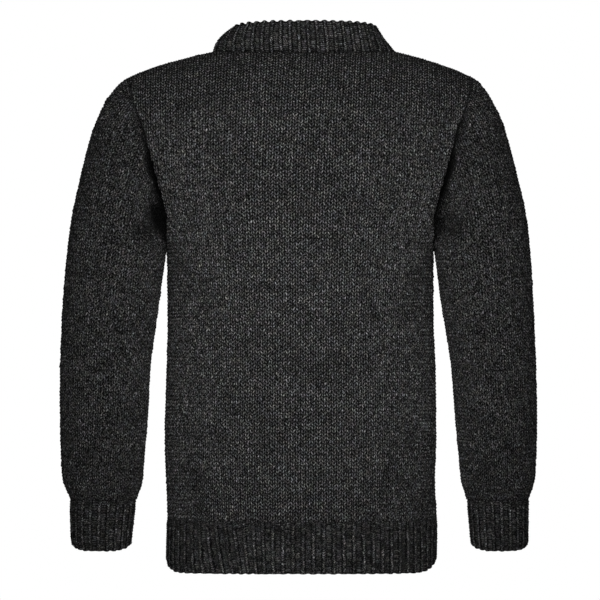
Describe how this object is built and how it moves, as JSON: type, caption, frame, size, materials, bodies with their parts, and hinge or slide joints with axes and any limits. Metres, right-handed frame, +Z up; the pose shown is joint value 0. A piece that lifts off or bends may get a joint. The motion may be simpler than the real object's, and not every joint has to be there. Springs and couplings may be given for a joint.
{
  "type": "wool sweater",
  "caption": "Chunky hollow wool sweater in its worn shape, with a wide ribbed crew neckband, set-in sleeves, and ribbed cuffs and hem.",
  "frame": {"origin": "on the wearer's shoulder line at the foot of the neck, midway between the two sleeves", "axes": "+Z up, +Y out of the back, +X towards the wearer's left"},
  "size_m": [0.6295, 0.2554, 0.7222],
  "materials": {
    "wool": "charcoal marled wool in chunky stocking stitch, matt with a light nap",
    "wool_rib": "charcoal marled wool in knit-one, purl-one rib, matt with a light nap"
  },
  "bodies": {
    "root": {"back_panel": "wool", "front_panel": "wool", "sleeve_left": "wool", "sleeve_right": "wool", "cuff_left": "wool_rib", "cuff_right": "wool_rib", "hem_rib": "wool_rib", "neckband": "wool_rib"}
  },
  "joints": []
}
